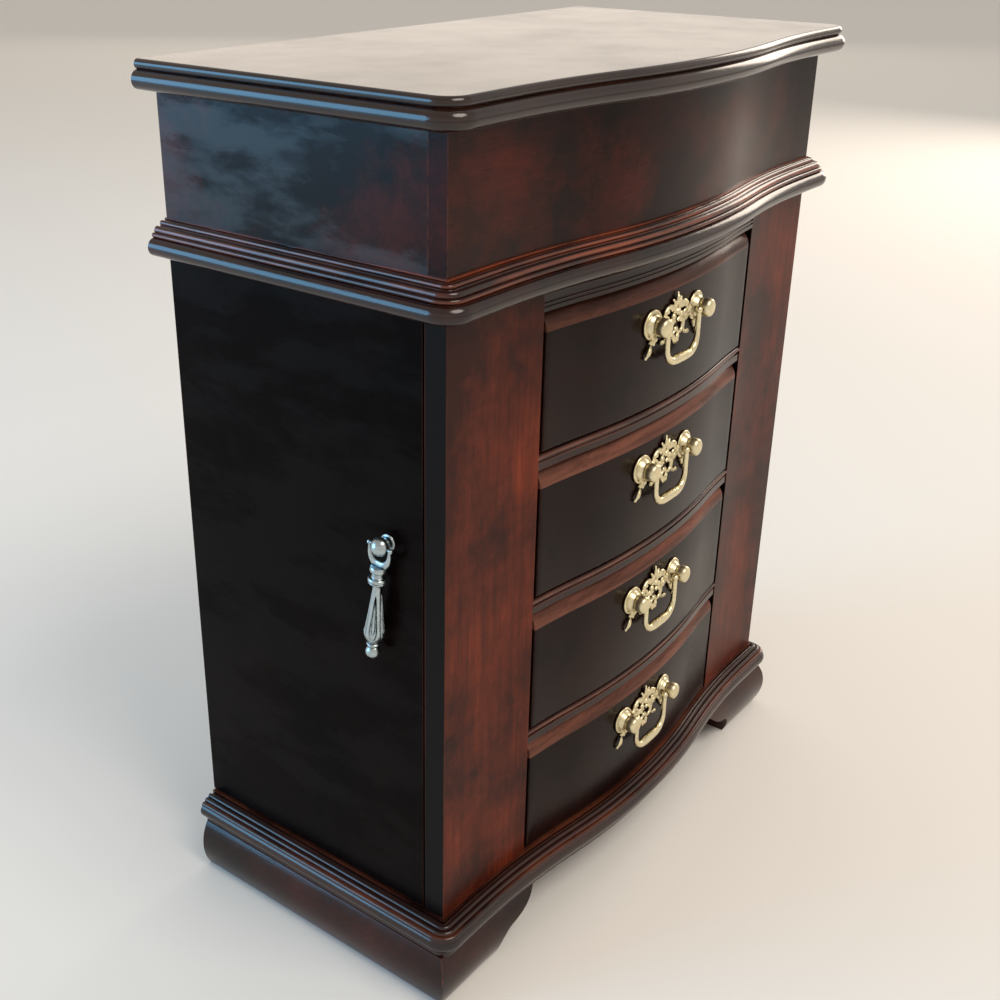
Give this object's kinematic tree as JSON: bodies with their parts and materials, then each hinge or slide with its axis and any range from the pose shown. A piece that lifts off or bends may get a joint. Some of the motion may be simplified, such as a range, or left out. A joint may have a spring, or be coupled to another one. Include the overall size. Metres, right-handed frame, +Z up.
{
  "type": "vanity and jewellery box",
  "caption": "Serpentine-front wooden jewellery box with drawers, hinged side doors with hanging space, and a mirrored lid over a lined tray.",
  "frame": {"origin": "middle of the box's overall width and depth, at the underside of its feet", "axes": "+Z up; -Y towards the serpentine drawer front; +X to the right of a person facing the drawers"},
  "size_m": [0.294, 0.1594, 0.363],
  "materials": {
    "mahogany_lacquer": "dark mahogany stain under satin gloss lacquer",
    "red_mahogany_lacquer": "red brown mahogany stain under satin gloss lacquer, worn on the edges",
    "drawer_wood": "plain thin boards, matt",
    "velvet": "short pile velvet",
    "champagne_brass": "cast, pale champagne antique finish",
    "hinge_brass": "pressed and lightly polished",
    "pewter": "cast, pewter coloured, dark in the hollows",
    "steel": "plain zinc plated",
    "magnet_case": "moulded black",
    "mirror_glass": "silvered glass"
  },
  "bodies": {
    "case": {"front_feet": "mahogany_lacquer", "plinth_left": "mahogany_lacquer", "plinth_right": "mahogany_lacquer", "plinth_back": "mahogany_lacquer", "base_board": "mahogany_lacquer", "pilaster_left": "red_mahogany_lacquer", "pilaster_right": "red_mahogany_lacquer", "partitions": "mahogany_lacquer", "back_panel": "mahogany_lacquer", "drawer_dividers": "red_mahogany_lacquer", "top_rail": "red_mahogany_lacquer", "waist_board": "mahogany_lacquer", "upper_front": "red_mahogany_lacquer", "upper_left": "mahogany_lacquer", "upper_right": "mahogany_lacquer", "upper_back": "mahogany_lacquer", "tray_lining": "velvet", "tray_dividers": "velvet", "ring_rolls": "velvet", "necklace_hooks": "hinge_brass", "catch_magnets": "magnet_case", "side_linings": "velvet", "door_hinge_case": "hinge_brass", "lid_hinge_case": "hinge_brass"},
    "door_left": {"door_left_panel": "mahogany_lacquer", "door_left_lining": "velvet", "door_left_hinge": "hinge_brass", "door_left_post": "pewter", "door_left_strike": "steel"},
    "drop_left": {"drop_left": "pewter"},
    "door_right": {"door_right_panel": "mahogany_lacquer", "door_right_lining": "velvet", "door_right_hinge": "hinge_brass", "door_right_post": "pewter", "door_right_strike": "steel"},
    "drop_right": {"drop_right": "pewter"},
    "drawer_1": {"drawer_1_front": "mahogany_lacquer", "drawer_1_box": "drawer_wood", "drawer_1_lining": "velvet", "drawer_1_pull": "champagne_brass"},
    "bail_1": {"drawer_1_bail": "champagne_brass"},
    "drawer_2": {"drawer_2_front": "mahogany_lacquer", "drawer_2_box": "drawer_wood", "drawer_2_lining": "velvet", "drawer_2_pull": "champagne_brass"},
    "bail_2": {"drawer_2_bail": "champagne_brass"},
    "drawer_3": {"drawer_3_front": "mahogany_lacquer", "drawer_3_box": "drawer_wood", "drawer_3_lining": "velvet", "drawer_3_pull": "champagne_brass"},
    "bail_3": {"drawer_3_bail": "champagne_brass"},
    "drawer_4": {"drawer_4_front": "mahogany_lacquer", "drawer_4_box": "drawer_wood", "drawer_4_lining": "velvet", "drawer_4_pull": "champagne_brass"},
    "bail_4": {"drawer_4_bail": "champagne_brass"},
    "lid": {"lid_board": "mahogany_lacquer", "mirror_frame": "red_mahogany_lacquer", "mirror": "mirror_glass", "lid_hinge_leaf": "hinge_brass"}
  },
  "joints": [
    {"name": "lid_hinge", "type": "hinge", "parent": "case", "child": "lid", "pos_m": [0, 0.0781, 0.35115], "axis": [-1, 0, 0], "range_deg": [0, 100]},
    {"name": "door_left_hinge", "type": "hinge", "parent": "case", "child": "door_left", "pos_m": [-0.126, 0.0781, 0.1644], "axis": [0, 0, -1], "range_deg": [0, 110]},
    {"name": "door_right_hinge", "type": "hinge", "parent": "case", "child": "door_right", "pos_m": [0.126, 0.0781, 0.1644], "axis": [0, 0, 1], "range_deg": [0, 110]},
    {"name": "drop_left_pin", "type": "hinge", "parent": "door_left", "child": "drop_left", "pos_m": [-0.141, -0.0325, 0.202], "axis": [0, 1, 0], "range_deg": [0, 100]},
    {"name": "drop_right_pin", "type": "hinge", "parent": "door_right", "child": "drop_right", "pos_m": [0.141, -0.0325, 0.202], "axis": [0, -1, 0], "range_deg": [0, 100]},
    {"name": "drawer_1_slide", "type": "slide", "parent": "case", "child": "drawer_1", "axis": [0, -1, 0], "range_m": [0, 0.09]},
    {"name": "bail_1_pivot", "type": "hinge", "parent": "drawer_1", "child": "bail_1", "pos_m": [0, -0.07322, 0.2623], "axis": [-1, 0, 0], "range_deg": [0, 100]},
    {"name": "drawer_2_slide", "type": "slide", "parent": "case", "child": "drawer_2", "axis": [0, -1, 0], "range_m": [0, 0.09]},
    {"name": "bail_2_pivot", "type": "hinge", "parent": "drawer_2", "child": "bail_2", "pos_m": [0, -0.07322, 0.2], "axis": [-1, 0, 0], "range_deg": [0, 100]},
    {"name": "drawer_3_slide", "type": "slide", "parent": "case", "child": "drawer_3", "axis": [0, -1, 0], "range_m": [0, 0.09]},
    {"name": "bail_3_pivot", "type": "hinge", "parent": "drawer_3", "child": "bail_3", "pos_m": [0, -0.07322, 0.1377], "axis": [-1, 0, 0], "range_deg": [0, 100]},
    {"name": "drawer_4_slide", "type": "slide", "parent": "case", "child": "drawer_4", "axis": [0, -1, 0], "range_m": [0, 0.09]},
    {"name": "bail_4_pivot", "type": "hinge", "parent": "drawer_4", "child": "bail_4", "pos_m": [0, -0.07322, 0.0754], "axis": [-1, 0, 0], "range_deg": [0, 100]}
  ]
}
